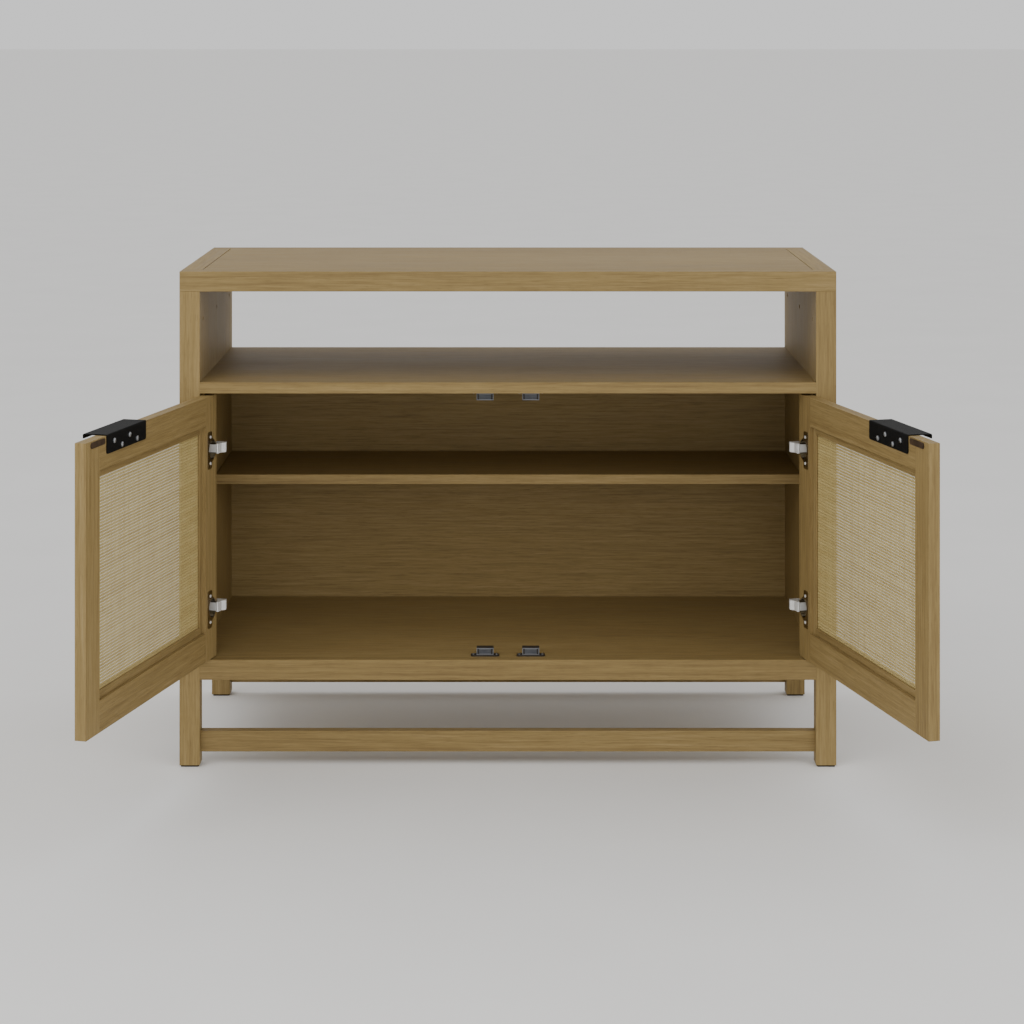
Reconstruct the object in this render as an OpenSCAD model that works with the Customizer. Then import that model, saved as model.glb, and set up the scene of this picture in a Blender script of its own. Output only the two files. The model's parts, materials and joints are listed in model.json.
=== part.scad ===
// Media cabinet: open bay above, two framed doors with woven panels below, four legs.
// The origin is on the floor, midway across, in the plane of the front faces.
// X is to the right, Y to the back and Z up. Both doors stand open.

/* [Cabinet] */
// Overall width
cabinet_width = 1200; // [1000:10:1400]
// Overall depth
cabinet_depth = 506; // [440:1:600]
// Overall height
cabinet_height = 905; // [800:5:1000]
// Clear height of the open bay
bay_height = 166; // [120:1:220]
// Clear height from the floor to the bottom rail
floor_clearance = 159; // [100:1:200]

/* [Legs and rails] */
// Leg width across the front
leg_width = 37; // [30:0.5:50]
// Leg depth from front to back
leg_depth = 34; // [30:0.5:46]
// Thickness of the glide under each leg
glide_height = 3; // [1:0.5:6]
// Height of the top frame rails
top_rail_height = 36.5; // [30:0.5:50]
// Width of the top frame rails, seen from above
top_rail_width = 37; // [34:0.5:60]
// Height of the front rail under the doors
bottom_rail_height = 37; // [30:0.5:60]
// Thickness of the front rail under the doors
bottom_rail_thickness = 20; // [15:0.5:25]
// Height of the two stretchers
stretcher_height = 38; // [25:0.5:60]
// Thickness of the two stretchers
stretcher_thickness = 20; // [12:0.5:26]
// Height of the stretchers above the floor
stretcher_bottom = 24; // [15:1:60]
// Length of the tenons on rails and stretchers
tenon_length = 18; // [8:0.5:22]

/* [Panels and shelves] */
// Thickness of the top, bottom and inner shelf panels
panel_thickness = 18; // [12:0.5:22]
// Width of the groove at each end of the top panel
top_groove = 1.5; // [0.5:0.1:4]
// Thickness of the side panels
side_thickness = 15; // [12:0.5:20]
// Thickness of the fixed shelf
fixed_shelf_thickness = 20; // [15:0.5:26]
// Thickness of the back panel
back_thickness = 4; // [3:0.5:6]
// Distance from the back panel to the rear faces of the legs
back_inset = 6; // [3:0.5:12]
// Height of the inner shelf's underside above the bottom panel
inner_shelf_rise = 278.5; // [150:0.5:350]
// Depth of the inner shelf
inner_shelf_depth = 266; // [180:1:400]
// Diameter of the recessed fixings in the open bay
side_bolt_diameter = 9; // [6:0.5:12]
// Height of the recessed fixings above the fixed shelf
side_bolt_rise = 110.5; // [40:0.5:140]

/* [Doors] */
// Thickness of the door frames
door_thickness = 19.5; // [18:0.5:24]
// Gap between a door and the leg beside it
hinge_gap = 3; // [2.5:0.1:5]
// Gap between the two doors when they are shut
centre_gap = 3; // [2:0.1:6]
// Gap under the doors
gap_below = 2; // [1:0.1:5]
// Gap over the doors
gap_above = 4.2; // [3:0.1:8]
// Width of the door frame on its outer face
frame_width = 65; // [50:0.5:90]
// Width of the rebate that holds the woven sheet
rebate_width = 13; // [8:0.5:18]
// Thickness of the frame in front of the woven sheet
lip_thickness = 8; // [5:0.5:10]
// Thickness of the woven sheet
sheet_thickness = 1.5; // [1:0.1:3]
// Thickness of the strips that hold the woven sheet
bead_thickness = 4; // [3:0.5:8]

/* [Pulls and catches] */
// Length of each pull
pull_length = 157; // [100:1:220]
// Distance from the door's free edge to the pull
pull_offset = 78; // [60:1:150]
// Reach of the pull in front of the door
pull_reach = 22.5; // [18:0.5:35]
// Thickness of the steel of the pull
pull_thickness = 2; // [1.5:0.1:2.5]
// Height of the pull's flange on the inner face
pull_flange_height = 32; // [28:0.5:45]
// Height of the pull's turned-down lip
pull_lip_height = 8; // [6:0.5:16]
// Distance of each catch from the middle of the cabinet
catch_offset = 42; // [35:0.5:60]

/* [Hinges] */
// Distance from the top of the door to the upper hinge
upper_hinge_drop = 98.5; // [80:0.5:130]
// Distance from the bottom of the door to the lower hinge
lower_hinge_rise = 92; // [80:0.5:130]
// Diameter of the hinge cup
cup_diameter = 35; // [35:1:35]
// Depth of the hinge cup in the door
cup_depth = 16.2; // [15.9:0.1:17]
// Distance from the door's edge to the middle of the cup
cup_offset = 21.5; // [20:0.5:24]
// Opening angle of the doors as shown
open_angle = 104.9; // [90:0.1:105]

/* [Hidden] */

$fn = 48;
left = -1;
right = 1;
wood = [0.62, 0.47, 0.28];
dark_wood = [0.45, 0.33, 0.2];
steel = [0.8, 0.8, 0.82];
black = [0.06, 0.06, 0.06];
cane = [0.83, 0.75, 0.58];

// Clearances: joinery in wood, screws in their holes, and cutting tools past a face
joint_play = 0.1;
hole_play = 0.05;
past = 1;

inner_half = cabinet_width / 2 - leg_width;
leg_top = cabinet_height - top_rail_height;
back_leg_front = cabinet_depth - leg_depth;
back_face = cabinet_depth - back_inset;
back_front = back_face - back_thickness;
bottom_top = floor_clearance + bottom_rail_height;
bottom_underside = bottom_top - panel_thickness;
fixed_shelf_top = leg_top - bay_height;
fixed_shelf_underside = fixed_shelf_top - fixed_shelf_thickness;
back_top = fixed_shelf_underside + fixed_shelf_thickness / 2;
inner_shelf_underside = bottom_top + inner_shelf_rise;
inner_shelf_back = back_front - 1;
inner_shelf_front = inner_shelf_back - inner_shelf_depth;
back_stretcher_front = cabinet_depth - stretcher_thickness;
front_stretcher_front = leg_depth - stretcher_thickness;

// Tongues, grooves and stub tenons
tongue_thickness = 6;
tongue_length = 6;
housing_depth = 5;
tenon_thickness = 12;
leg_tenon = 16;
leg_tenon_height = 20;

// Doors, drawn shut from the inner face of the leg at x = 0
door_width = inner_half - hinge_gap - centre_gap / 2;
door_bottom = bottom_top + gap_below;
door_top = fixed_shelf_underside - gap_above;
door_height = door_top - door_bottom;
inner_width = frame_width - rebate_width;
sheet_back = lip_thickness + sheet_thickness;
door_tenon_length = 12;
door_tenon_bottom = 8;
door_tenon_height = inner_width - 2 * door_tenon_bottom;
door_tenon_front = 10;

// Hinge: the cup pin and the arm pin carry a link between them, drawn shut
// The hinge is drawn for one door thickness, and moves back as a whole behind a thicker door
hinge_drawn_for = 19.5;
hinge_shift = door_thickness - hinge_drawn_for;
cup_pin = [12.7, 6.1];
arm_pin = [31, 12.4];
link_share = 0.33;
pin_radius = 1;
pin_play = 0.05;
link_half_height = 7.2;
link_eye_radius = 2.1;
link_half_thickness = 1.2;
arm_gap = 0.3;
arm_half_height = 8.7;
arm_wall = 1.5;
link_angle = open_angle * link_share;
link_vector = cup_pin - arm_pin;
open_pin = arm_pin + [
    link_vector[0] * cos(link_angle) + link_vector[1] * sin(link_angle),
    link_vector[1] * cos(link_angle) - link_vector[0] * sin(link_angle)
];
link_length = norm(link_vector);
link_heading = atan2(link_vector[1], link_vector[0]);
cup_wall = 0.6;
flange_thickness = 1.2;
flange_height = 68;
flange_near = 24;
flange_far = 44;
flange_screw_offset = 31.5;
flange_screw_half = 24;
hinge_heights = [door_top - upper_hinge_drop, door_bottom + lower_hinge_rise];
plate_thickness = 2.5;
plate_front = 42;
plate_back = 86;
arm_inside = 11.5;
plate_screw_y = 62;
plate_screw_half = 16;
arm_screw_y = 74;

// Screws: head radius, head height, shank radius and length
screw_shank_radius = 1.6;
screw_head_radius = 3.2;
screw_head_height = 1.6;
screw_length = 12;
catch_screw_length = 9;
pull_head_radius = 4.3;
pull_head_height = 3;
pull_screw_spacing = 30.8;
pull_screw_offset = 104.8;
pull_screw_drops = [11.6, 22.7];
cup_head_radius = 2.8;
cup_head_height = 1.3;

// Catches
catch_width = 31.2;
catch_height = 15.8;
catch_front = door_thickness + 2.5;
catch_depth = 18;
catch_base_width = 52;
catch_base_thickness = 3.1;
catch_base_depth = 14;
catch_screw_half = 21;
catch_rim = 1.5;
catch_recess = 2.5;
magnet_width = 22;
magnet_proud = 0.4;
magnet_depth = 8;
pole_thickness = 1;
pole_reach = 1.5;

strike_length = 55;
strike_height = 10;
strike_thickness = 1.2;
strike_offset = 17.5;
strike_drop = 7.2;

// Copies a part to the chosen side of the cabinet
module on_side(side) {
    if (side == right)
        mirror([1, 0, 0]) children();
    else
        children();
}

// Puts a part drawn from the leg's inner face beside the left or right leg
module beside_leg(side) {
    on_side(side) translate([-inner_half, 0, 0]) children();
}

// Swings a part drawn on a shut door to where the open door stands
module on_door(side) {
    beside_leg(side)
        translate([open_pin[0], open_pin[1] + hinge_shift, 0])
            rotate([0, 0, -open_angle])
                translate([-cup_pin[0], -cup_pin[1] - hinge_shift, 0])
                    children();
}

// A box between two corners
module block(low, high) {
    translate(low) cube(high - low);
}

// A box on a shut door: along the door, through it and up from its bottom edge
module leaf(low, high) {
    translate([hinge_gap, 0, door_bottom]) block(low, high);
}

// A flat plate with rounded corners, centred, rising from z = 0
module rounded_plate(width, height, thickness, radius) {
    linear_extrude(height = thickness) {
        square([width - 2 * radius, height], center = true);
        square([width, height - 2 * radius], center = true);
        for (x = [-1, 1])
            for (y = [-1, 1])
                translate([x * (width / 2 - radius), y * (height / 2 - radius)])
                    circle(r = radius);
    }
}

// A cross-recess screw with its head on z = 0 and its shank below; the head's top is part of a sphere
module screw(length, head_radius = screw_head_radius, head_height = screw_head_height) {
    dome = head_height / 2;
    dome_radius = (head_radius * head_radius + dome * dome) / (2 * dome);
    difference() {
        union() {
            intersection() {
                cylinder(r = head_radius, h = head_height);
                translate([0, 0, head_height - dome_radius])
                    sphere(r = dome_radius);
            }
            translate([0, 0, -length])
                cylinder(r = screw_shank_radius, h = length);
        }
        for (turn = [0, 90])
            rotate([0, 0, turn])
                translate([-0.55 * head_radius, -0.4, head_height - 0.8])
                    cube([1.1 * head_radius, 0.8, 2]);
    }
}

// The hole for that screw
module screw_hole(length) {
    translate([0, 0, -length - 0.5])
        cylinder(r = screw_shank_radius + hole_play, h = length + 0.5 + past);
}

// Turns a screw that points down so that it is driven towards -Y
module facing_back() {
    rotate([-90, 0, 0]) children();
}

// Legs

// A mortise in the leg's inner face, sized from the tenon that enters it
module leg_mortise(y, z, height) {
    block(
        [-tenon_length - 0.5, y - tenon_thickness / 2 - joint_play, z - joint_play],
        [past, y + tenon_thickness / 2 + joint_play, z + height + joint_play]
    );
}

// The groove that takes a side panel's tongue
module panel_groove(y_low, y_high) {
    block(
        [-side_thickness / 2 - tongue_thickness / 2 - joint_play, y_low, floor_clearance - joint_play],
        [-side_thickness / 2 + tongue_thickness / 2 + joint_play, y_high, leg_top + past]
    );
}

module leg_blank(y) {
    block([-leg_width, y, glide_height], [0, y + leg_depth, leg_top]);
    block(
        [-leg_width / 2 - leg_tenon / 2, y + leg_depth / 2 - leg_tenon / 2, leg_top],
        [-leg_width / 2 + leg_tenon / 2, y + leg_depth / 2 + leg_tenon / 2, leg_top + leg_tenon_height]
    );
}

module leg_front(side) {
    color(wood)
        beside_leg(side)
            difference() {
                leg_blank(0);
                leg_mortise(front_stretcher_front + stretcher_thickness / 2,
                    stretcher_bottom + 6, stretcher_height - 12);
                leg_mortise(bottom_rail_thickness / 2, floor_clearance + 6, bottom_rail_height - 12);
                panel_groove(leg_depth - tongue_length - 0.5, leg_depth + past);
            }
}

module leg_back(side) {
    color(wood)
        beside_leg(side)
            difference() {
                leg_blank(back_leg_front);
                leg_mortise(back_stretcher_front + stretcher_thickness / 2,
                    stretcher_bottom + 6, stretcher_height - 12);
                panel_groove(back_leg_front - past, back_leg_front + tongue_length + 0.5);
                block(
                    [-tongue_length - 0.5, back_front, floor_clearance],
                    [past, back_face, back_top + joint_play]
                );
            }
}

module foot_glides() {
    color(black)
        for (side = [left, right])
            beside_leg(side)
                for (y = [leg_depth / 2, cabinet_depth - leg_depth / 2])
                    translate([-leg_width / 2, y, 0])
                        rounded_plate(leg_width - 4, leg_depth - 4, glide_height, 3);
}

// Top frame

module top_rail_long(y) {
    color(wood)
        difference() {
            block([-cabinet_width / 2, y, leg_top], [cabinet_width / 2, y + top_rail_width, cabinet_height]);
            for (side = [left, right])
                beside_leg(side)
                    leg_top_mortise(y < cabinet_depth / 2 ? 0 : back_leg_front);
            for (side = [left, right])
                beside_leg(side)
                    side_rail_tenons(joint_play, 0.5);
        }
}

// The hole in a rail for the tenon on top of a leg
module leg_top_mortise(y) {
    block(
        [-leg_width / 2 - leg_tenon / 2 - joint_play,
            y + leg_depth / 2 - leg_tenon / 2 - joint_play, leg_top - past],
        [-leg_width / 2 + leg_tenon / 2 + joint_play,
            y + leg_depth / 2 + leg_tenon / 2 + joint_play, leg_top + leg_tenon_height + 0.5]
    );
}

// The tenons at both ends of a side rail, made larger by the play to cut their mortises
module side_rail_tenons(play, end_play) {
    block(
        [-leg_width / 2 - 6 - play, top_rail_width - 7 - end_play, leg_top + 10 - play],
        [-leg_width / 2 + 6 + play, cabinet_depth - top_rail_width + 7 + end_play, cabinet_height - 10 + play]
    );
}

module top_rail_side(side) {
    color(wood)
        beside_leg(side)
            difference() {
                union() {
                    block(
                        [-leg_width, top_rail_width, leg_top],
                        [0, cabinet_depth - top_rail_width, cabinet_height]
                    );
                    side_rail_tenons(0, 0);
                }
                top_panel_tongue(joint_play);
            }
}

// The tongue at each end of the top panel
module top_panel_tongue(play) {
    block(
        [-tongue_length - play, top_rail_width,
            cabinet_height - panel_thickness / 2 - tongue_thickness / 2 - play],
        [top_groove + past, cabinet_depth - top_rail_width,
            cabinet_height - panel_thickness / 2 + tongue_thickness / 2 + play]
    );
}

module top_panel() {
    color(wood)
        union() {
            block(
                [-inner_half + top_groove, top_rail_width, cabinet_height - panel_thickness],
                [inner_half - top_groove, cabinet_depth - top_rail_width, cabinet_height]
            );
            for (side = [left, right])
                beside_leg(side)
                    top_panel_tongue(0);
        }
}

// Case

// The housed ends of a shelf, made larger by the play to cut their housings
module shelf_housing(z, height, play) {
    block(
        [-housing_depth - play, leg_depth + 12 - play, z - play],
        [past, back_leg_front - 12 + play, z + height + play]
    );
}

module side_panel(side) {
    bolt_ys = [leg_depth + 17, cabinet_depth / 2 + 2, cabinet_depth - 51];
    color(wood)
        beside_leg(side)
            difference() {
                union() {
                    block(
                        [-side_thickness, leg_depth, floor_clearance],
                        [0, back_leg_front, leg_top]
                    );
                    block(
                        [-side_thickness / 2 - tongue_thickness / 2, leg_depth - tongue_length,
                            floor_clearance],
                        [-side_thickness / 2 + tongue_thickness / 2, back_leg_front + tongue_length, leg_top]
                    );
                }
                shelf_housing(fixed_shelf_underside + 4, fixed_shelf_thickness - 8, joint_play);
                shelf_housing(bottom_underside + 4, panel_thickness - 8, joint_play);
                for (y = bolt_ys)
                    translate([0, y, fixed_shelf_top + side_bolt_rise])
                        rotate([0, 90, 0])
                            cylinder(d = side_bolt_diameter, h = 20, center = true);
                for (y = shelf_pin_ys())
                    translate([0, y, inner_shelf_underside - 2])
                        rotate([0, 90, 0])
                            cylinder(d = 5 + 2 * hole_play, h = 21, center = true);
                for (z = hinge_heights)
                    for (offset = [-plate_screw_half, plate_screw_half])
                        translate([plate_thickness, plate_screw_y + hinge_shift, z + offset])
                            rotate([0, 90, 0])
                                screw_hole(screw_length);
            }
}

function shelf_pin_ys() = [inner_shelf_front + 34, inner_shelf_back - 36];

module side_bolts() {
    bolt_ys = [leg_depth + 17, cabinet_depth / 2 + 2, cabinet_depth - 51];
    color(black)
        for (side = [left, right])
            beside_leg(side)
                for (y = bolt_ys)
                    translate([-10, y, fixed_shelf_top + side_bolt_rise])
                        rotate([0, 90, 0])
                            difference() {
                                cylinder(d = side_bolt_diameter, h = 7);
                                translate([0, 0, 3])
                                    cylinder(d = side_bolt_diameter / 2, h = 5, $fn = 6);
                            }
}

module fixed_shelf() {
    color(wood)
        difference() {
            union() {
                block(
                    [-inner_half, 0, fixed_shelf_underside],
                    [inner_half, back_face, fixed_shelf_top]
                );
                for (side = [left, right])
                    beside_leg(side)
                        shelf_housing(fixed_shelf_underside + 4, fixed_shelf_thickness - 8, 0);
            }
            block(
                [-inner_half - past, back_front, fixed_shelf_underside - past],
                [inner_half + past, back_face + past, back_top]
            );
            back_screw_places() screw_hole(screw_length);
            catch_screw_places() screw_hole(catch_screw_length);
        }
}

module bottom_panel() {
    color(wood)
        difference() {
            union() {
                block(
                    [-inner_half, bottom_rail_thickness, bottom_underside],
                    [inner_half, back_front, bottom_top]
                );
                for (side = [left, right])
                    beside_leg(side)
                        shelf_housing(bottom_underside + 4, panel_thickness - 8, 0);
            }
            back_screw_places() screw_hole(screw_length);
            catch_screw_places() screw_hole(catch_screw_length);
        }
}

// A rail between the legs with a stub tenon at each end
module tenoned_rail(y, thickness, z, height) {
    color(wood)
        union() {
            block([-inner_half, y, z], [inner_half, y + thickness, z + height]);
            block(
                [-inner_half - tenon_length, y + thickness / 2 - tenon_thickness / 2, z + 6],
                [inner_half + tenon_length, y + thickness / 2 + tenon_thickness / 2, z + height - 6]
            );
        }
}

module bottom_rail_front() {
    tenoned_rail(0, bottom_rail_thickness, floor_clearance, bottom_rail_height);
}

module bottom_rail_back() {
    color(wood)
        block(
            [-inner_half, back_front - bottom_rail_thickness, floor_clearance],
            [inner_half, back_front, bottom_underside]
        );
}

module stretcher_front() {
    tenoned_rail(front_stretcher_front, stretcher_thickness, stretcher_bottom, stretcher_height);
}

module stretcher_back() {
    tenoned_rail(back_stretcher_front, stretcher_thickness, stretcher_bottom, stretcher_height);
}

module back_panel() {
    color(dark_wood)
        difference() {
            block(
                [-inner_half - tongue_length, back_front, floor_clearance],
                [inner_half + tongue_length, back_face, back_top]
            );
            back_screw_places() screw_hole(screw_length);
        }
}

// Places each back screw on the rear face of the back panel
module back_screw_places() {
    for (z = [bottom_top - panel_thickness / 2, fixed_shelf_underside + fixed_shelf_thickness / 4])
        for (step = [-2:2])
            translate([step * (inner_half - 43) / 2, back_face, z])
                facing_back() children();
}

module back_screws() {
    color(steel)
        back_screw_places() screw(screw_length);
}

// Inner shelf

module inner_shelf() {
    color(wood)
        block(
            [-inner_half + past, inner_shelf_front, inner_shelf_underside],
            [inner_half - past, inner_shelf_back, inner_shelf_underside + panel_thickness]
        );
}

module shelf_pins() {
    color(steel)
        for (side = [left, right])
            beside_leg(side)
                for (y = shelf_pin_ys())
                    difference() {
                        translate([-10, y, inner_shelf_underside - 2])
                            rotate([0, 90, 0]) {
                                cylinder(d = 5, h = 20);
                                translate([0, 0, 10])
                                    cylinder(d = 9, h = 1);
                            }
                        block(
                            [0, y - 6, inner_shelf_underside],
                            [14, y + 6, inner_shelf_underside + 6]
                        );
                    }
}

// Catches

// Places each catch on the surface that carries it, with its base at z = 0
module catch_places() {
    for (side = [-1, 1]) {
        translate([side * catch_offset, 0, bottom_top]) children();
        translate([side * catch_offset, 0, fixed_shelf_underside]) mirror([0, 0, 1]) children();
    }
}

module catch_screw_places() {
    catch_places()
        for (offset = [-catch_screw_half, catch_screw_half])
            translate([offset, catch_front + catch_base_depth / 2, catch_base_thickness])
                children();
}

// The space for the steel poles and magnet, between the ends of the catch's recess
module magnet_block() {
    block(
        [-magnet_width / 2, catch_front - magnet_proud, catch_base_thickness + catch_rim],
        [magnet_width / 2, catch_front + magnet_depth, catch_height - catch_rim]
    );
}

module catch_body() {
    difference() {
        union() {
            translate([0, catch_front + catch_depth, catch_height / 2])
                rotate([90, 0, 0])
                    rounded_plate(catch_width, catch_height, catch_depth, 1);
            translate([0, catch_front + catch_base_depth / 2, 0])
                rounded_plate(catch_base_width, catch_base_depth, catch_base_thickness, 5);
        }
        block(
            [-catch_width / 2 + catch_rim, catch_front - past, catch_base_thickness + catch_rim],
            [catch_width / 2 - catch_rim, catch_front + catch_recess, catch_height - catch_rim]
        );
        magnet_block();
    }
}

module catch_bodies() {
    color(dark_wood)
        difference() {
            catch_places() catch_body();
            catch_screw_places() screw_hole(catch_screw_length);
        }
}

module catch_magnets() {
    color(steel)
        catch_places()
            difference() {
                magnet_block();
                block(
                    [-magnet_width / 2 - past, catch_front - past,
                        catch_base_thickness + catch_rim + pole_thickness],
                    [magnet_width / 2 + past, catch_front + pole_reach,
                        catch_height - catch_rim - pole_thickness]
                );
            }
}

module catch_screws() {
    color(steel)
        catch_screw_places() screw(catch_screw_length);
}

// Hinges on the case

// Places each hinge on one side of the case, with z = 0 at the hinge's middle
module hinge_places(side) {
    for (z = hinge_heights)
        beside_leg(side) translate([0, hinge_shift, z]) children();
}

module hinge_plates() {
    color(steel)
        for (side = [left, right])
            hinge_places(side)
                difference() {
                    union() {
                        block(
                            [0, plate_front, -arm_half_height],
                            [plate_thickness, plate_back, arm_half_height]
                        );
                        translate([0, plate_screw_y, 0])
                            rotate([0, 90, 0])
                                rounded_plate(2 * plate_screw_half + 12, 12, plate_thickness, 5);
                        block([0, arm_screw_y - 8, -5], [arm_inside, arm_screw_y + 8, 5]);
                    }
                    for (offset = [-plate_screw_half, plate_screw_half])
                        translate([plate_thickness, plate_screw_y, offset])
                            rotate([0, 90, 0])
                                screw_hole(screw_length);
                    translate([arm_inside + arm_wall, arm_screw_y, 0])
                        rotate([0, 90, 0])
                            screw_hole(catch_screw_length);
                }
}

module hinge_plate_screws() {
    color(steel)
        for (side = [left, right])
            hinge_places(side) {
                for (offset = [-plate_screw_half, plate_screw_half])
                    translate([plate_thickness, plate_screw_y, offset])
                        rotate([0, 90, 0])
                            screw(screw_length);
                translate([arm_inside + arm_wall, arm_screw_y, 0])
                    rotate([0, 90, 0])
                        screw(catch_screw_length);
            }
}

// The arm's outline from above: along the side panel, out round the leg and forward to its pin
arm_outline = [
    [29.4, 12.4], [29.4, 31.6], [12, 36.5], [4, 45], [4, 84],
    [13, 84], [13, 52], [24, 41.5], [45, 37.5], [45, 26], [37.6, 20.6], [34.2, 13]
];
// The folded web that closes the arm on the side away from the panel
arm_web = [
    [13, 84], [13, 52], [24, 41.5], [45, 37.5], [45, 26], [37.6, 20.6], [34.2, 13],
    [33.4, 13.4], [36.3, 21.2], [43.5, 26.8], [43.5, 36.2], [23.4, 40.1], [11.5, 51.4], [11.5, 84]
];

module hinge_arms(side) {
    color(steel)
        hinge_places(side)
            difference() {
                union() {
                    for (z = [-arm_half_height, link_half_height + arm_gap])
                        translate([0, 0, z])
                            linear_extrude(height = arm_half_height - link_half_height - arm_gap) {
                                polygon(arm_outline);
                                translate(arm_pin) circle(r = 3);
                            }
                    translate([0, 0, -arm_half_height])
                        linear_extrude(height = 2 * arm_half_height)
                            polygon(arm_web);
                    translate([arm_pin[0], arm_pin[1], -arm_half_height])
                        cylinder(r = pin_radius, h = 2 * arm_half_height);
                }
                translate([arm_inside + arm_wall, arm_screw_y, 0])
                    rotate([0, 90, 0])
                        screw_hole(catch_screw_length);
            }
}

// Links

// The link turns about the arm pin and carries the cup pin
module hinge_links(side) {
    color(steel)
        hinge_places(side)
            translate([arm_pin[0], arm_pin[1], -link_half_height])
                rotate([0, 0, link_heading - link_angle])
                    difference() {
                        union() {
                            cylinder(r = link_eye_radius, h = 2 * link_half_height);
                            translate([link_length, 0, 0])
                                cylinder(r = link_eye_radius, h = 2 * link_half_height);
                            block(
                                [0, -link_half_thickness, 0],
                                [link_length, link_half_thickness, 2 * link_half_height]
                            );
                        }
                        for (x = [0, link_length])
                            translate([x, 0, -past])
                                cylinder(r = pin_radius + pin_play, h = 2 * link_half_height + 2 * past);
                    }
}

// Doors

// Turns a part at the bottom of a door over to its top
module at_door_end(top) {
    if (top)
        translate([0, 0, door_top + door_bottom]) mirror([0, 0, 1]) children();
    else
        children();
}

// The tenons of a bottom door rail, made larger by the play to cut their mortises
module door_tenons(play, end_play) {
    leaf(
        [inner_width - door_tenon_length - end_play, door_tenon_front - play, door_tenon_bottom - play],
        [door_width - inner_width + door_tenon_length + end_play,
            door_tenon_front + tongue_thickness + play, door_tenon_bottom + door_tenon_height + play]
    );
}

// Places each hinge cup on a shut door, with z = 0 on the inner face pointing out of it
module cup_places() {
    for (z = hinge_heights)
        translate([hinge_gap + cup_offset, door_thickness, z])
            facing_back() children();
}

module cup_screw_places() {
    for (z = hinge_heights)
        for (offset = [-flange_screw_half, flange_screw_half])
            translate([hinge_gap + flange_screw_offset, door_thickness + flange_thickness, z + offset])
                facing_back() children();
}

module stile_hinge(side) {
    color(wood)
        on_door(side)
            difference() {
                leaf([0, 0, 0], [frame_width, door_thickness, door_height]);
                leaf(
                    [inner_width, lip_thickness, -past],
                    [frame_width + past, door_thickness + past, door_height + past]
                );
                for (top = [false, true])
                    at_door_end(top) door_tenons(joint_play, 0.5);
                cup_places()
                    translate([0, 0, -cup_depth])
                        cylinder(d = cup_diameter, h = cup_depth + past);
                cup_screw_places() screw_hole(screw_length);
            }
}

module stile_free(side) {
    color(wood)
        on_door(side)
            difference() {
                leaf([door_width - frame_width, 0, 0], [door_width, door_thickness, door_height]);
                leaf(
                    [door_width - frame_width - past, lip_thickness, -past],
                    [door_width - inner_width, door_thickness + past, door_height + past]
                );
                for (top = [false, true])
                    at_door_end(top) door_tenons(joint_play, 0.5);
            }
}

module door_rail(side, top) {
    color(wood)
        on_door(side)
            difference() {
                at_door_end(top) {
                    leaf([frame_width, 0, 0], [door_width - frame_width, lip_thickness, frame_width]);
                    leaf(
                        [inner_width, lip_thickness, 0],
                        [door_width - inner_width, door_thickness, inner_width]
                    );
                    door_tenons(0, 0);
                }
                pull_screw_places() screw_hole(screw_length);
            }
}

module beads_upright(side) {
    color(wood)
        on_door(side)
            for (s = [inner_width, door_width - frame_width])
                leaf(
                    [s, sheet_back, inner_width],
                    [s + rebate_width, sheet_back + bead_thickness, door_height - inner_width]
                );
}

module beads_level(side) {
    color(wood)
        on_door(side)
            for (top = [false, true])
                at_door_end(top)
                    leaf(
                        [frame_width + joint_play, sheet_back, inner_width],
                        [door_width - frame_width - joint_play, sheet_back + bead_thickness, frame_width]
                    );
}

module woven_sheet(side) {
    color(cane)
        on_door(side)
            leaf(
                [inner_width + 0.5, lip_thickness, inner_width + 0.5],
                [door_width - inner_width - 0.5, sheet_back, door_height - inner_width - 0.5]
            );
}

// The pull's section: flange, bend, top plate and turned-down lip
module pull_section() {
    bend = pull_thickness + 1;
    translate([door_thickness, pull_thickness - pull_flange_height])
        square([pull_thickness, pull_flange_height - pull_thickness]);
    intersection() {
        translate([door_thickness, 0]) circle(r = pull_thickness);
        translate([door_thickness, 0]) square([pull_thickness, pull_thickness]);
    }
    translate([bend - pull_reach, 0])
        square([door_thickness + pull_reach - bend, pull_thickness]);
    difference() {
        translate([bend - pull_reach, pull_thickness - bend]) circle(r = bend);
        translate([bend - pull_reach, pull_thickness - bend]) circle(r = bend - pull_thickness);
        translate([bend - pull_reach, -2 * bend]) square([2 * bend, 4 * bend]);
        translate([-pull_reach - past, -3 * bend]) square([3 * bend, 2 * bend + pull_thickness]);
    }
    translate([-pull_reach, pull_thickness - pull_lip_height])
        square([pull_thickness, pull_lip_height - bend]);
}

module pull(side) {
    corner = 4;
    start = hinge_gap + door_width - pull_offset - pull_length;
    color(black)
        on_door(side)
            difference() {
                translate([start, 0, door_top])
                    rotate([90, 0, 90])
                        linear_extrude(height = pull_length)
                            pull_section();
                for (end = [0, 1])
                    translate([
                        start + end * pull_length,
                        door_thickness - past,
                        door_top + pull_thickness - pull_flange_height
                    ])
                        mirror([end, 0, 0])
                            difference() {
                                block([-past, 0, -past], [corner, pull_thickness + 2 * past, corner]);
                                translate([corner, pull_thickness + 3 * past, corner])
                                    rotate([90, 0, 0])
                                        cylinder(r = corner, h = pull_thickness + 4 * past);
                            }
                pull_screw_places() screw_hole(screw_length);
            }
}

// Screws through the pull's flange, by turns near its top and near its bottom from the free edge
module pull_screw_places() {
    for (step = [0:3])
        translate([
            hinge_gap + door_width - pull_screw_offset - step * pull_screw_spacing,
            door_thickness + pull_thickness,
            door_top - pull_screw_drops[step % 2]
        ])
            facing_back() children();
}

module pull_screws(side) {
    color(steel)
        on_door(side)
            pull_screw_places() screw(screw_length, pull_head_radius, pull_head_height);
}

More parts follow.
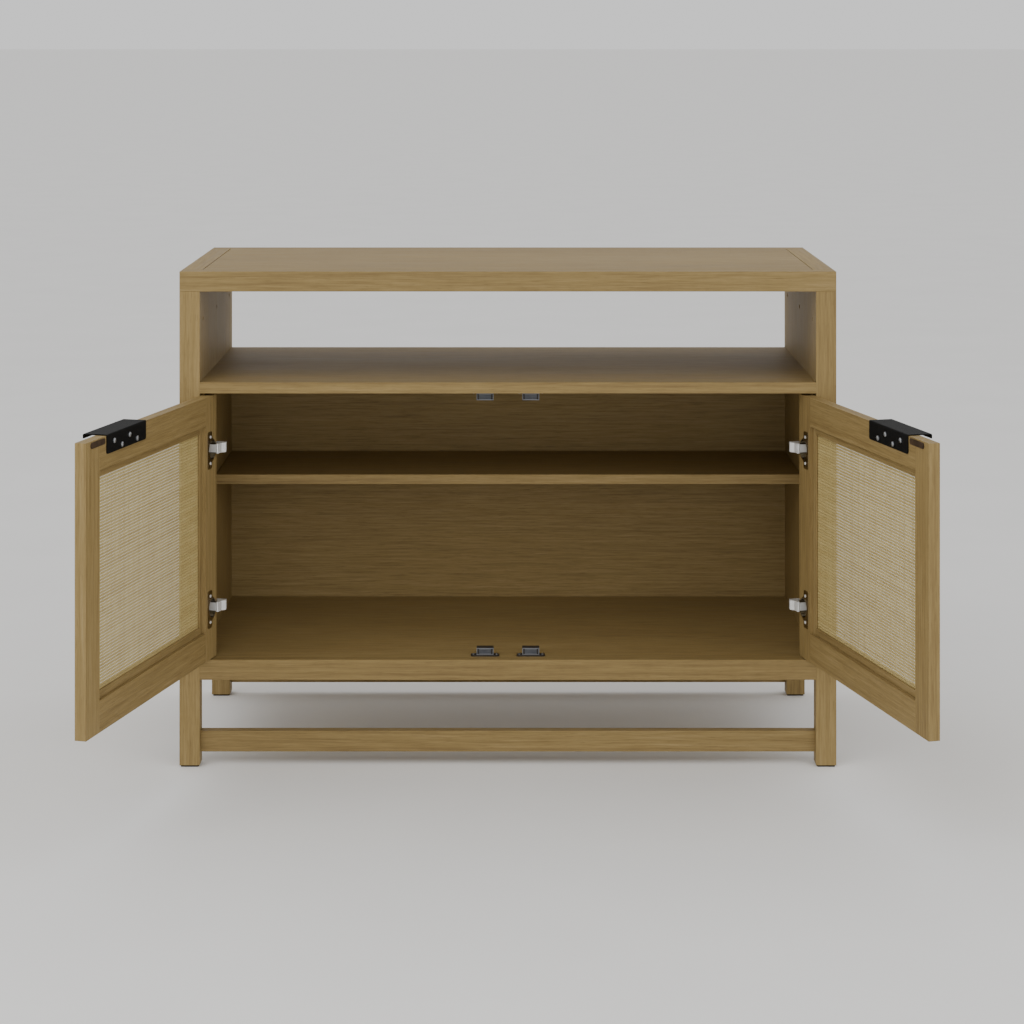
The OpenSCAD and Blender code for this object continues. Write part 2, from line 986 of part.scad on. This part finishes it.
module strike_plate(side) {
    color(dark_wood)
        on_door(side)
            translate([
                hinge_gap + door_width - strike_offset - strike_length / 2,
                door_thickness,
                door_top - strike_drop
            ])
                facing_back()
                    rounded_plate(strike_length, strike_height, strike_thickness, strike_height / 2 - 0.1);
}

module hinge_cups(side) {
    near = flange_near - cup_offset;
    far = flange_far - cup_offset;
    color(steel)
        on_door(side) {
            difference() {
                cup_places()
                    difference() {
                        union() {
                            translate([0, 0, -cup_depth])
                                cylinder(d = cup_diameter, h = cup_depth);
                            cylinder(r = cup_diameter / 2 + 1, h = flange_thickness);
                            translate([(near + far) / 2, 0, 0])
                                rounded_plate(far - near, flange_height, flange_thickness, 4);
                            linear_extrude(height = flange_thickness)
                                polygon([[near + 2, -24], [near + 2, 24], [-13, 13], [-13, -13]]);
                        }
                        translate([0, 0, cup_wall - 0.1 - cup_depth])
                            cylinder(r = cup_diameter / 2 - cup_wall, h = cup_depth + flange_thickness + past);
                    }
                cup_screw_places() screw_hole(screw_length);
            }
            intersection() {
                cup_places()
                    translate([0, 0, -cup_depth])
                        cylinder(d = cup_diameter, h = cup_depth);
                for (z = hinge_heights)
                    translate([cup_pin[0], cup_pin[1] + hinge_shift, z - cup_diameter / 2])
                        cylinder(r = pin_radius, h = cup_diameter);
            }
        }
}

module cup_screws(side) {
    color(steel)
        on_door(side)
            cup_screw_places() screw(screw_length, cup_head_radius, cup_head_height);
}

leg_front(left);  // leg_front_left
leg_front(right);  // leg_front_right
leg_back(left);  // leg_back_left
leg_back(right);  // leg_back_right
foot_glides();
top_rail_long(0);  // top_rail_front
top_rail_long(cabinet_depth - top_rail_width);  // top_rail_back
top_rail_side(left);  // top_rail_left
top_rail_side(right);  // top_rail_right
top_panel();
side_panel(left);  // side_panel_left
side_panel(right);  // side_panel_right
fixed_shelf();
bottom_panel();
bottom_rail_front();
bottom_rail_back();
back_panel();
back_screws();
stretcher_front();
stretcher_back();
inner_shelf();
shelf_pins();
side_bolts();
catch_bodies();
catch_magnets();
catch_screws();
hinge_plates();
hinge_plate_screws();
hinge_arms(left);  // hinge_arms_left
hinge_arms(right);  // hinge_arms_right
hinge_links(left);  // hinge_links_left
hinge_links(right);  // hinge_links_right
stile_hinge(left);  // left_stile_hinge
stile_free(left);  // left_stile_free
door_rail(left, true);  // left_rail_top
door_rail(left, false);  // left_rail_bottom
beads_upright(left);  // left_beads_upright
beads_level(left);  // left_beads_level
woven_sheet(left);  // left_woven_sheet
pull(left);  // left_pull
pull_screws(left);  // left_pull_screws
strike_plate(left);  // left_strike_plate
hinge_cups(left);  // left_hinge_cups
cup_screws(left);  // left_cup_screws
stile_hinge(right);  // right_stile_hinge
stile_free(right);  // right_stile_free
door_rail(right, true);  // right_rail_top
door_rail(right, false);  // right_rail_bottom
beads_upright(right);  // right_beads_upright
beads_level(right);  // right_beads_level
woven_sheet(right);  // right_woven_sheet
pull(right);  // right_pull
pull_screws(right);  // right_pull_screws
strike_plate(right);  // right_strike_plate
hinge_cups(right);  // right_hinge_cups
cup_screws(right);  // right_cup_screws
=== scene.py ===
import json
import math

import bpy
import numpy as np
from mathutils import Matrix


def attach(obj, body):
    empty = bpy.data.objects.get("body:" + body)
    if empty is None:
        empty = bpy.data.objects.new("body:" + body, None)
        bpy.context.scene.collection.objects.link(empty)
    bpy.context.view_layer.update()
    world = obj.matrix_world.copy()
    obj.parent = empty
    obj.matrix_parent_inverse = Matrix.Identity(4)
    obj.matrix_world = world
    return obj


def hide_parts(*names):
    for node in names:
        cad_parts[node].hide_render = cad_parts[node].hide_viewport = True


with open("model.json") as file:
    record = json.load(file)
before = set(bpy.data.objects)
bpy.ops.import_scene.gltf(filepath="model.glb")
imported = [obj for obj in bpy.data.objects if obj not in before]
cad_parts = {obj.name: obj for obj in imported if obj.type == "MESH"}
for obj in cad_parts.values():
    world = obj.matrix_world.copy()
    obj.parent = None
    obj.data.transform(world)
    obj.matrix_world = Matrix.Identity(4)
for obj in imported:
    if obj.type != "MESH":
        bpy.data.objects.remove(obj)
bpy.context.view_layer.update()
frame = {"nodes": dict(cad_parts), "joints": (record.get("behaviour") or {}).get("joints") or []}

# The CAD nodes by name, and a millimetre in metres
nodes = frame["nodes"]
mm = 0.001


def linear(hexCode):
    # An sRGB hex colour as linear light with full alpha
    parts = [int(hexCode[i:i + 2], 16) / 255 for i in (1, 3, 5)]
    return tuple(p / 12.92 if p <= 0.04045 else ((p + 0.055) / 1.055) ** 2.4 for p in parts) + (1.0,)


def addNode(tree, kind, settings=None, values=None, links=None):
    # One shader node with its settings, socket values and incoming links
    made = tree.nodes.new(kind)
    for name, value in (settings or {}).items():
        setattr(made, name, value)
    for name, value in (values or {}).items():
        made.inputs[name].default_value = value
    for name, source in (links or {}).items():
        tree.links.new(source, made.inputs[name])
    return made


def newMaterial(name):
    # An empty material with its output and the surface shader
    material = bpy.data.materials.new(name)
    material.use_nodes = True
    tree = material.node_tree
    tree.nodes.clear()
    surface = addNode(tree, "ShaderNodeBsdfPrincipled")
    addNode(tree, "ShaderNodeOutputMaterial", links={"Surface": surface.outputs["BSDF"]})
    return material, tree, surface


def objectPoint(tree):
    return addNode(tree, "ShaderNodeTexCoord").outputs["Object"]


def scaled(tree, point, scale, rotation=(0, 0, 0), location=(0, 0, 0)):
    # A point turned, moved and scaled by three factors
    return addNode(tree, "ShaderNodeMapping", values={"Scale": scale, "Rotation": rotation, "Location": location},
                   links={"Vector": point}).outputs["Vector"]


def noise(tree, point, scale=1.0, detail=2.0, roughness=0.5):
    return addNode(tree, "ShaderNodeTexNoise", values={"Scale": scale, "Detail": detail, "Roughness": roughness},
                   links={"Vector": point}).outputs["Fac"]


def maths(tree, operation, first, second=None, third=None):
    # One arithmetic step; each term is a socket or a number
    made = addNode(tree, "ShaderNodeMath", settings={"operation": operation})
    for i, term in enumerate((first, second, third)):
        if term is None:
            continue
        if isinstance(term, (int, float)):
            made.inputs[i].default_value = term
        else:
            tree.links.new(term, made.inputs[i])
    return made.outputs[0]


def spread(tree, value, low, high, newLow=0.0, newHigh=1.0):
    # A value taken from one range to another and held inside it
    return addNode(tree, "ShaderNodeMapRange",
                   values={"From Min": low, "From Max": high, "To Min": newLow, "To Max": newHigh},
                   links={"Value": value}).outputs["Result"]


def colourRamp(tree, value, stops):
    # Colours at given places along a value
    made = addNode(tree, "ShaderNodeValToRGB", links={"Fac": value})
    ramp = made.color_ramp
    while len(ramp.elements) < len(stops):
        ramp.elements.new(0.5)
    for element, (place, hexCode) in zip(ramp.elements, stops):
        element.position = place
        element.color = linear(hexCode)
    return made.outputs["Color"]


def mixColour(tree, amount, first, second, blend="MIX"):
    # A colour mixed with another; the amount is a socket or a number.
    # The node's colour sockets come after its sockets for plain numbers and vectors.
    made = addNode(tree, "ShaderNodeMix", settings={"data_type": "RGBA", "blend_type": blend})
    for place, term in ((0, amount), (6, first), (7, second)):
        if isinstance(term, (int, float, tuple)):
            made.inputs[place].default_value = term
        else:
            tree.links.new(term, made.inputs[place])
    return made.outputs[2]


def bump(tree, height, distance, strength=1.0):
    return addNode(tree, "ShaderNodeBump", values={"Distance": distance, "Strength": strength},
                   links={"Height": height}).outputs["Normal"]


def paint(node, material):
    # A CAD node keeps its mesh and shows this material
    shape = nodes[node]
    shape.data.materials.clear()
    shape.data.materials.append(material)


def cornersOf(node):
    # Every corner of a CAD node's mesh, one to a row
    mesh = nodes[node].data
    flatPoints = np.zeros(len(mesh.vertices) * 3)
    mesh.vertices.foreach_get("co", flatPoints)
    return flatPoints.reshape(-1, 3)


# Camera: level and a little above the cabinet, shifted down to keep upright lines upright
cameraLook = {"place": (0.0075, -4.359, 1.330), "lens": 83.9, "drop": -0.462}
cameraData = bpy.data.cameras.new("camera")
cameraData.sensor_width = 36
cameraData.lens = cameraLook["lens"]
cameraData.shift_y = cameraLook["drop"]
camera = bpy.data.objects.new("camera", cameraData)
camera.location = cameraLook["place"]
camera.rotation_euler = (math.pi / 2, 0, 0)
bpy.context.scene.collection.objects.link(camera)
bpy.context.scene.camera = camera

# Studio: a pale floor, an even white room and two soft lamps
studio = {
    "room": "#ffffff", "roomStrength": 0.90, "floorHalf": 300, "floorLight": "#f4f3f1", "floorDark": "#f1f0ee",
    "lampAim": (0.0, 0.2, 0.45),
}
world = bpy.data.worlds.new("studio")
world.use_nodes = True
bpy.context.scene.world = world
background = world.node_tree.nodes["Background"]
background.inputs["Color"].default_value = linear(studio["room"])
background.inputs["Strength"].default_value = studio["roomStrength"]

floorMesh = bpy.data.meshes.new("floor")
half = studio["floorHalf"]
floorMesh.from_pydata([(-half, -half, 0), (half, -half, 0), (half, half, 0), (-half, half, 0)], [], [(0, 1, 2, 3)])
floor = bpy.data.objects.new("floor", floorMesh)
bpy.context.scene.collection.objects.link(floor)
floorMaterial, tree, surface = newMaterial("matt white studio floor")
grain = noise(tree, objectPoint(tree), 3.0, 3.0)
floorColour = colourRamp(tree, grain, [(0.3, studio["floorDark"]), (0.7, studio["floorLight"])])
tree.links.new(floorColour, surface.inputs["Base Color"])
surface.inputs["Roughness"].default_value = 0.9
surface.inputs["Specular IOR Level"].default_value = 0.1
floorMesh.materials.append(floorMaterial)

lamps = [
    {"name": "keyLamp", "place": (-1.6, -2.6, 3.4), "size": 3.2, "power": 39},
    {"name": "fillLamp", "place": (2.4, -3.0, 2.2), "size": 2.6, "power": 14},
    {"name": "insideLamp", "place": (0.0, -3.4, 0.95), "size": 2.2, "power": 13},
]
for lamp in lamps:
    lampData = bpy.data.lights.new(lamp["name"], "AREA")
    lampData.shape = "DISK"
    lampData.size = lamp["size"]
    lampData.energy = lamp["power"]
    lampObject = bpy.data.objects.new(lamp["name"], lampData)
    lampObject.location = lamp["place"]
    # The lamp's own minus Z points at the middle of the cabinet
    aim = np.array(studio["lampAim"]) - np.array(lamp["place"])
    flat = math.hypot(aim[0], aim[1])
    lampObject.rotation_euler = (math.pi / 2 + math.atan2(aim[2], flat), 0, math.atan2(aim[1], aim[0]) - math.pi / 2)
    bpy.context.scene.collection.objects.link(lampObject)
print("stage and camera made")

# Directions of the open doors, from the joints' own ranges
joints = {joint["name"]: joint for joint in frame["joints"]}


def openDoor(side):
    # The door's run from its hinge edge, and the way its inner face looks
    turn = math.radians(joints[side + "_link_turn"]["range_deg"][1] + joints[side + "_door_swing"]["range_deg"][1])
    flip = 1 if side == "left" else -1
    return {
        "along": np.array([flip * math.cos(turn), -math.sin(turn), 0.0]),
        "inward": np.array([flip * math.sin(turn), math.cos(turn), 0.0]),
    }


doors = {side: openDoor(side) for side in ("left", "right")}

# Wood: oak-toned veneer and solid edges under a clear satin lacquer.
# Each board turns its own X along the grain and takes its own stretch of the pattern.
woodLook = {
    "dark": "#735d39", "mid": "#8f794c", "light": "#a48d61", "pore": "#594428",
    "base": 0.52, "poreShade": 0.4, "roughness": (0.50, 0.66), "gloss": 0.22, "relief": 0.12 * mm,
    "ringStep": 11 * mm, "ringWander": 34 * mm, "ringLean": (0.0, 1.0, 0.75), "ringShade": 0.08, "ringSharpness": 2.5,
    "boardStep": (3.17, 1.31, 2.23),
}
# Repeats in a metre along the grain and across it, and the share of the tint that a pattern moves
woodPatterns = {
    "wander": {"along": 0.9, "across": 5.5, "detail": 2.0},  # bends of 1100 by 180 mm
    "streaks": {"along": 2.2, "across": 120, "detail": 3.0, "rough": 0.6, "share": 0.45},  # 450 by 8 mm
    "dashes": {"along": 13, "across": 300, "detail": 2.0, "rough": 0.55, "share": 0.55},  # 77 by 3.3 mm
    "fibres": {"along": 14, "across": 850, "detail": 2.0, "rough": 0.6, "share": 0.5},  # 71 by 1.2 mm
    "clouds": {"along": 0.8, "across": 3.5, "detail": 2.0, "share": 0.38},  # 1250 by 290 mm
    "pores": {"along": 45, "across": 1900, "detail": 1.0, "open": (0.60, 0.70)},  # 22 by 0.5 mm
}


def grainTurn(along):
    # The rotation that brings a direction onto X
    if isinstance(along, str):
        return {"x": (0, 0, 0), "y": (0, 0, -math.pi / 2), "z": (0, math.pi / 2, 0)}[along]
    return (0, 0, -math.atan2(along[1], along[0]))


def grainNoise(tree, board, look):
    # Noise drawn out along the grain
    stretched = scaled(tree, board, (look["along"], look["across"], look["across"]))
    return noise(tree, stretched, 1.0, look["detail"], look.get("rough", 0.5))


def woodMaterial(name, along, seed, tone=1.0, figure=1.0):
    material, tree, surface = newMaterial(name)
    place = tuple(seed * step for step in woodLook["boardStep"])
    board = scaled(tree, objectPoint(tree), (1, 1, 1), grainTurn(along), place)
    fields = {key: grainNoise(tree, board, look) for key, look in woodPatterns.items()}
    # Growth lines: a slow wander along the board bends evenly spaced lines
    across = addNode(tree, "ShaderNodeVectorMath", settings={"operation": "DOT_PRODUCT"})
    tree.links.new(board, across.inputs[0])
    across.inputs[1].default_value = woodLook["ringLean"]
    lines = maths(tree, "MULTIPLY_ADD", fields["wander"], woodLook["ringWander"], across.outputs["Value"])
    lines = maths(tree, "SINE", maths(tree, "MULTIPLY", lines, 2 * math.pi / woodLook["ringStep"]))
    lines = maths(tree, "POWER", spread(tree, lines, -1, 1), woodLook["ringSharpness"])
    tint = maths(tree, "MULTIPLY_ADD", lines, -woodLook["ringShade"] * figure, woodLook["base"])
    # Each pattern moves the tint up and down about its own middle
    for key in ("streaks", "dashes", "fibres", "clouds"):
        share = woodPatterns[key]["share"] * (figure if key == "streaks" else 1.0)
        tint = maths(tree, "ADD", tint, maths(tree, "MULTIPLY", maths(tree, "SUBTRACT", fields[key], 0.5), share))
    colour = colourRamp(tree, tint, [(0.15, woodLook["dark"]), (0.5, woodLook["mid"]), (0.85, woodLook["light"])])
    pores = spread(tree, fields["pores"], *woodPatterns["pores"]["open"])
    colour = mixColour(tree, maths(tree, "MULTIPLY", pores, woodLook["poreShade"]), colour, linear(woodLook["pore"]))
    if tone != 1.0:
        colour = mixColour(tree, 1.0, colour, (tone, tone, tone, 1.0), "MULTIPLY")
    tree.links.new(colour, surface.inputs["Base Color"])
    surface.inputs["Specular IOR Level"].default_value = woodLook["gloss"]
    tree.links.new(spread(tree, fields["streaks"], 0.3, 0.7, *woodLook["roughness"]), surface.inputs["Roughness"])
    relief = maths(tree, "SUBTRACT", maths(tree, "MULTIPLY", fields["fibres"], 0.5), pores)
    tree.links.new(bump(tree, relief, woodLook["relief"], 0.6), surface.inputs["Normal"])
    return material


# How much is taken off an edge, wider than the weld that joins its faces
edgeSoftness = {"wood": 0.6 * mm, "steel": 0.25 * mm, "weld": 0.002 * mm}


def softenEdges(shape, width, segments=2):
    # The machined edges are broken slightly; the weld joins the faces first
    weld = shape.modifiers.new("weld", "WELD")
    weld.merge_threshold = edgeSoftness["weld"]
    bevel = shape.modifiers.new("softEdge", "BEVEL")
    bevel.width = width
    bevel.segments = segments
    bevel.limit_method = "ANGLE"
    bevel.angle_limit = math.radians(50)
    bevel.use_clamp_overlap = False
    bevel.harden_normals = False


boards = [
    {"node": "leg_front_left", "along": "z"},
    {"node": "leg_front_right", "along": "z"},
    {"node": "leg_back_left", "along": "z"},
    {"node": "leg_back_right", "along": "z"},
    {"node": "top_rail_front", "along": "x", "tone": 0.96},
    {"node": "top_rail_back", "along": "x", "tone": 0.96},
    {"node": "top_rail_left", "along": "y"},
    {"node": "top_rail_right", "along": "y"},
    {"node": "top_panel", "along": "x"},
    {"node": "side_panel_left", "along": "z"},
    {"node": "side_panel_right", "along": "z"},
    {"node": "fixed_shelf", "along": "x"},
    {"node": "bottom_panel", "along": "x"},
    {"node": "bottom_rail_front", "along": "x", "tone": 0.95},
    {"node": "bottom_rail_back", "along": "x", "tone": 0.95},
    {"node": "back_panel", "along": "x", "tone": 0.95, "figure": 0.6},
    {"node": "stretcher_front", "along": "x", "tone": 0.95},
    {"node": "stretcher_back", "along": "x", "tone": 0.95},
    {"node": "inner_shelf", "along": "x"},
]
for side in ("left", "right"):
    run = doors[side]["along"]
    boards += [
        {"node": side + "_stile_hinge", "along": "z", "tone": 0.98},
        {"node": side + "_stile_free", "along": "z"},
        {"node": side + "_rail_top", "along": run, "tone": 0.97},
        {"node": side + "_rail_bottom", "along": run, "tone": 0.97},
        {"node": side + "_beads_upright", "along": "z", "tone": 0.93},
        {"node": side + "_beads_level", "along": run, "tone": 0.93},
    ]
# Boards with small round holes keep their sharp edges, since a bevel would pull their faces out of true
sharp = ("back_panel", "bottom_panel", "fixed_shelf", "side_panel", "stile_hinge", "rail_top")
for number, board in enumerate(boards):
    name = "lacquered oak " + board["node"].replace("_", " ")
    oak = woodMaterial(name, board["along"], number + 1, board.get("tone", 1.0), board.get("figure", 1.0))
    paint(board["node"], oak)
    if not any(word in board["node"] for word in sharp):
        softenEdges(nodes[board["node"]], edgeSoftness["wood"])
print("wood made")

# Metal and plastic
steelLook = {
    # The nickel's near-white colour and metallic of 0.45 are partly real plating and partly painted reflection: half
    # diffuse white, so steep faces stay white where true metal would reflect the dark cabinet
    "nickel": {"colour": "#f0f0ee", "rough": (0.32, 0.44), "scratch": 0.02, "metallic": 0.45},
    "cup": {"colour": "#b9ad94", "rough": (0.16, 0.28), "scratch": 0.02},
    "zinc": {"colour": "#b9bcc0", "rough": (0.26, 0.42), "scratch": 0.03},
}
# Repeats in a metre: clouds of 11 mm in the polish, and hairlines 17 mm long and 0.24 mm apart
polish = {"cloud": (90, 90, 90), "hair": (60, 60, 4200), "dull": "#8f8f8d", "dullShare": 0.25}


def metalMaterial(name, look):
    # Plated steel: fine hairlines and cloudy polish
    material, tree, surface = newMaterial(name)
    point = objectPoint(tree)
    cloud = noise(tree, scaled(tree, point, polish["cloud"]), 1.0, 3.0)
    hair = noise(tree, scaled(tree, point, polish["hair"]), 1.0, 2.0, 0.7)
    dull = maths(tree, "MULTIPLY", cloud, polish["dullShare"])
    shade = mixColour(tree, dull, linear(look["colour"]), linear(polish["dull"]))
    tree.links.new(shade, surface.inputs["Base Color"])
    surface.inputs["Metallic"].default_value = look.get("metallic", 1.0)
    low, high = look["rough"]
    tree.links.new(spread(tree, maths(tree, "ADD", cloud, maths(tree, "MULTIPLY", hair, 0.4)), 0.4, 1.0, low, high),
                   surface.inputs["Roughness"])
    tree.links.new(bump(tree, hair, look["scratch"] * mm, 0.5), surface.inputs["Normal"])
    return material


# Grain is repeats in a metre: 1500 is a pebble of 0.7 mm, which only a close view shows
coatLook = {
    "black": {
        "dark": "#030303", "light": "#070706", "grain": 1500, "relief": 0.03, "rough": (0.60, 0.74), "gloss": 0.18,
    },
    "brown": {"dark": "#2b2018", "light": "#4a3a2c", "grain": 1100, "relief": 0.03, "rough": (0.35, 0.55)},
    "catch": {"dark": "#2b2622", "light": "#3a342e", "grain": 1300, "relief": 0.04, "rough": (0.50, 0.66)},
    "magnet": {"dark": "#3f4146", "light": "#55575c", "grain": 1600, "relief": 0.03, "rough": (0.45, 0.60)},
    "glide": {"dark": "#151413", "light": "#242220", "grain": 900, "relief": 0.06, "rough": (0.6, 0.8)},
}
coatCloud = 60.0  # Tonal clouds of 17 mm

# The front rims of the catches and of their poles are bare grey steel. The grey runs back a little from each
# front face, and stops short of the bases on the bottom panel and under the fixed shelf.
catchRim = {"colour": "#6a6c70", "bodyShow": 0.4 * mm, "poleShow": 0.9 * mm, "base": 3.2 * mm}
catchCorners = cornersOf("catch_bodies")
catchLow, catchHigh = catchCorners[:, 2].min() + catchRim["base"], catchCorners[:, 2].max() - catchRim["base"]
bodyRimDepth = catchCorners[:, 1].min() + catchRim["bodyShow"]
poleRimDepth = cornersOf("catch_magnets")[:, 1].min() + catchRim["poleShow"]


def rimmed(tree, colour, depth):
    # The rim's grey in front of the given depth, and the given colour behind it
    place = addNode(tree, "ShaderNodeSeparateXYZ", links={"Vector": objectPoint(tree)}).outputs
    ahead = maths(tree, "LESS_THAN", place["Y"], depth)
    between = maths(tree, "MULTIPLY", maths(tree, "GREATER_THAN", place["Z"], catchLow),
                    maths(tree, "LESS_THAN", place["Z"], catchHigh))
    return mixColour(tree, maths(tree, "MULTIPLY", ahead, between), colour, linear(catchRim["colour"]))


def coatMaterial(name, look, rimDepth=None):
    # Powder coat or moulded plastic: a fine pebble with slight tonal change
    material, tree, surface = newMaterial(name)
    point = objectPoint(tree)
    pebble = noise(tree, point, look["grain"], 2.0, 0.55)
    cloud = noise(tree, point, coatCloud, 3.0)
    colour = colourRamp(tree, cloud, [(0.3, look["dark"]), (0.72, look["light"])])
    if rimDepth is not None:
        colour = rimmed(tree, colour, rimDepth)
    tree.links.new(colour, surface.inputs["Base Color"])
    surface.inputs["Specular IOR Level"].default_value = look.get("gloss", 0.3)
    low, high = look["rough"]
    tree.links.new(spread(tree, pebble, 0.35, 0.65, low, high), surface.inputs["Roughness"])
    tree.links.new(bump(tree, pebble, look["relief"] * mm, 0.7), surface.inputs["Normal"])
    return material


# The nickel plate's whiteness is partly painted reflection
nickel = metalMaterial("polished nickel plate", steelLook["nickel"])
zinc = metalMaterial("zinc plated screw", steelLook["zinc"])
cupSteel = metalMaterial("nickel plated hinge cup", steelLook["cup"])
magnet = coatMaterial("ferrite magnet between steel poles", coatLook["magnet"], poleRimDepth)
blackCoat = coatMaterial("black powder coated steel", coatLook["black"])
brownCoat = coatMaterial("dark brown enamelled steel", coatLook["brown"])
catchPlastic = coatMaterial("moulded dark brown plastic", coatLook["catch"], bodyRimDepth)
glidePlastic = coatMaterial("black nylon glide", coatLook["glide"])

finishes = {
    "hinge_plates": nickel, "hinge_arms_left": nickel, "hinge_arms_right": nickel,
    "hinge_links_left": nickel, "hinge_links_right": nickel, "hinge_plate_screws": zinc,
    "back_screws": zinc, "shelf_pins": zinc, "side_bolts": brownCoat,
    "catch_bodies": catchPlastic, "catch_magnets": magnet, "catch_screws": zinc, "foot_glides": glidePlastic,
}
for side in ("left_", "right_"):
    finishes.update({
        side + "hinge_cups": cupSteel, side + "cup_screws": nickel, side + "pull": blackCoat,
        side + "pull_screws": zinc, side + "strike_plate": brownCoat,
    })
for node, material in finishes.items():
    paint(node, material)
for node in ("hinge_arms_left", "hinge_arms_right"):
    softenEdges(nodes[node], edgeSoftness["steel"])
print("metal and plastic made")

# Woven cane: flat strands cross over and under each other, each set in a mesh of its own
caneLook = {
    "weft": {"pitch": 5.2 * mm, "width": 3.9 * mm, "thick": 0.72 * mm},
    "warp": {"pitch": 5.2 * mm, "width": 3.0 * mm, "thick": 0.66 * mm},
    "rise": 0.345 * mm, "facets": 6, "endGap": 0.2 * mm, "drift": 0.04 * mm,
    "dark": "#8b7643", "mid": "#b49e64", "light": "#d3c28a", "base": 0.20, "rough": (0.45, 0.62), "relief": 0.04 * mm,
    # Repeats in a metre: fibres 17 mm long and 0.4 mm wide, blotches of 45 by 17 mm
    "fibre": (60, 2600, 2600), "fibreShare": 0.45, "blotch": (22, 60, 60), "blotchShare": 0.30, "strandShare": 0.14,
}


def caneMaterial(name, along):
    # Split cane: long fibres with each strand a little lighter or darker
    material, tree, surface = newMaterial(name)
    point = scaled(tree, objectPoint(tree), (1, 1, 1), grainTurn(along))
    strand = addNode(tree, "ShaderNodeAttribute", settings={"attribute_name": "strandTone"}).outputs["Fac"]
    fibres = noise(tree, scaled(tree, point, caneLook["fibre"]), 1.0, 2.0, 0.6)
    blotch = noise(tree, scaled(tree, point, caneLook["blotch"]), 1.0, 2.0)
    tint = maths(tree, "MULTIPLY_ADD", strand, caneLook["strandShare"], caneLook["base"])
    tint = maths(tree, "MULTIPLY_ADD", fibres, caneLook["fibreShare"], tint)
    tint = maths(tree, "MULTIPLY_ADD", blotch, caneLook["blotchShare"], tint)
    colour = colourRamp(tree, tint, [(0.3, caneLook["dark"]), (0.6, caneLook["mid"]), (0.9, caneLook["light"])])
    tree.links.new(colour, surface.inputs["Base Color"])
    tree.links.new(spread(tree, fibres, 0.3, 0.7, *caneLook["rough"]), surface.inputs["Roughness"])
    tree.links.new(bump(tree, fibres, caneLook["relief"], 0.6), surface.inputs["Normal"])
    return material


def strands(name, side, run, cross, inward, corner, length, span, own, other, phase):
    # Each strand is a flat tube of a few facets whose middle rises and falls once in two crossings
    facets, endGap = caneLook["facets"], caneLook["endGap"]
    count = int(span / own["pitch"])
    crossings = int(length / other["pitch"])
    start = (length - crossings * other["pitch"]) / 2
    inside = start + np.arange(crossings * 2 + 1) * other["pitch"] / 2
    stations = np.concatenate([[endGap], inside[1:-1], [length - endGap]])
    number = np.arange(count)
    middle = (span - count * own["pitch"]) / 2 + (number + 0.5) * own["pitch"]
    # The rise is a cosine that is highest or lowest where a crossing strand lies
    swing = np.cos(math.pi * ((stations[None, :] - start) / other["pitch"] - 0.5) + math.pi * (number[:, None] + phase))
    ring = np.arange(facets) * 2 * math.pi / facets
    wide = own["width"] / 2 * np.cos(ring)
    deep = own["thick"] / 2 * np.sin(ring)
    # Each set of strands draws its own small drifts and tones
    random = np.random.default_rng(len(name) * 7 + phase)
    drift = random.normal(0, caneLook["drift"], count)
    points = (
        corner
        + stations[None, :, None, None] * run
        + (middle + drift)[:, None, None, None] * cross
        + wide[None, None, :, None] * cross
        + (deep[None, None, :, None] + caneLook["rise"] * swing[:, :, None, None]) * inward
    )
    steps = len(stations)
    base = np.arange(count)[:, None, None] * steps * facets
    row = np.arange(steps - 1)[None, :, None] * facets
    at = np.arange(facets)[None, None, :]
    following = (at + 1) % facets
    near, far = base + row, base + row + facets
    walls = np.stack([near + at, near + following, far + following, far + at], -1).reshape(-1, 4)
    firstCap = base[:, 0] + np.arange(facets - 1, -1, -1)[None, :]
    lastCap = base[:, 0] + (steps - 1) * facets + np.arange(facets)[None, :]
    # The ring turns the other way round when the three directions are left-handed
    if np.dot(np.cross(cross, inward), run) < 0:
        walls, firstCap, lastCap = walls[:, ::-1], firstCap[:, ::-1], lastCap[:, ::-1]
    mesh = bpy.data.meshes.new(name)
    mesh.from_pydata(points.reshape(-1, 3).tolist(), [], walls.tolist() + firstCap.tolist() + lastCap.tolist())
    smooth = np.ones(len(mesh.polygons), bool)
    smooth[len(walls):] = False
    mesh.polygons.foreach_set("use_smooth", smooth)
    tone = mesh.attributes.new("strandTone", "FLOAT", "POINT")
    tone.data.foreach_set("value", np.repeat(random.random(count), steps * facets).astype(np.float32))
    piece = bpy.data.objects.new(name, mesh)
    bpy.context.scene.collection.objects.link(piece)
    piece.data.materials.append(caneMaterial("split cane " + name, run if abs(run[2]) < 0.5 else "z"))
    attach(piece, side + "_door")
    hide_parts(side + "_woven_sheet")
    return piece


for side in ("left", "right"):
    run, inward = doors[side]["along"], doors[side]["inward"]
    up = np.array([0.0, 0.0, 1.0])
    # The sheet's own extent along the door, up it and through it
    reach = cornersOf(side + "_woven_sheet") @ np.stack([run, up, inward]).T
    low, high = reach.min(0), reach.max(0)
    middleDepth = (low[2] + high[2]) / 2
    corner = low[0] * run + low[1] * up + middleDepth * inward
    width, height = high[0] - low[0], high[1] - low[1]
    strands(side + "CaneWeft", side, run, up, inward, corner, width, height, caneLook["weft"], caneLook["warp"], 0)
    strands(side + "CaneWarp", side, up, run, inward, corner, height, width, caneLook["warp"], caneLook["weft"], 1)
print("woven cane made")
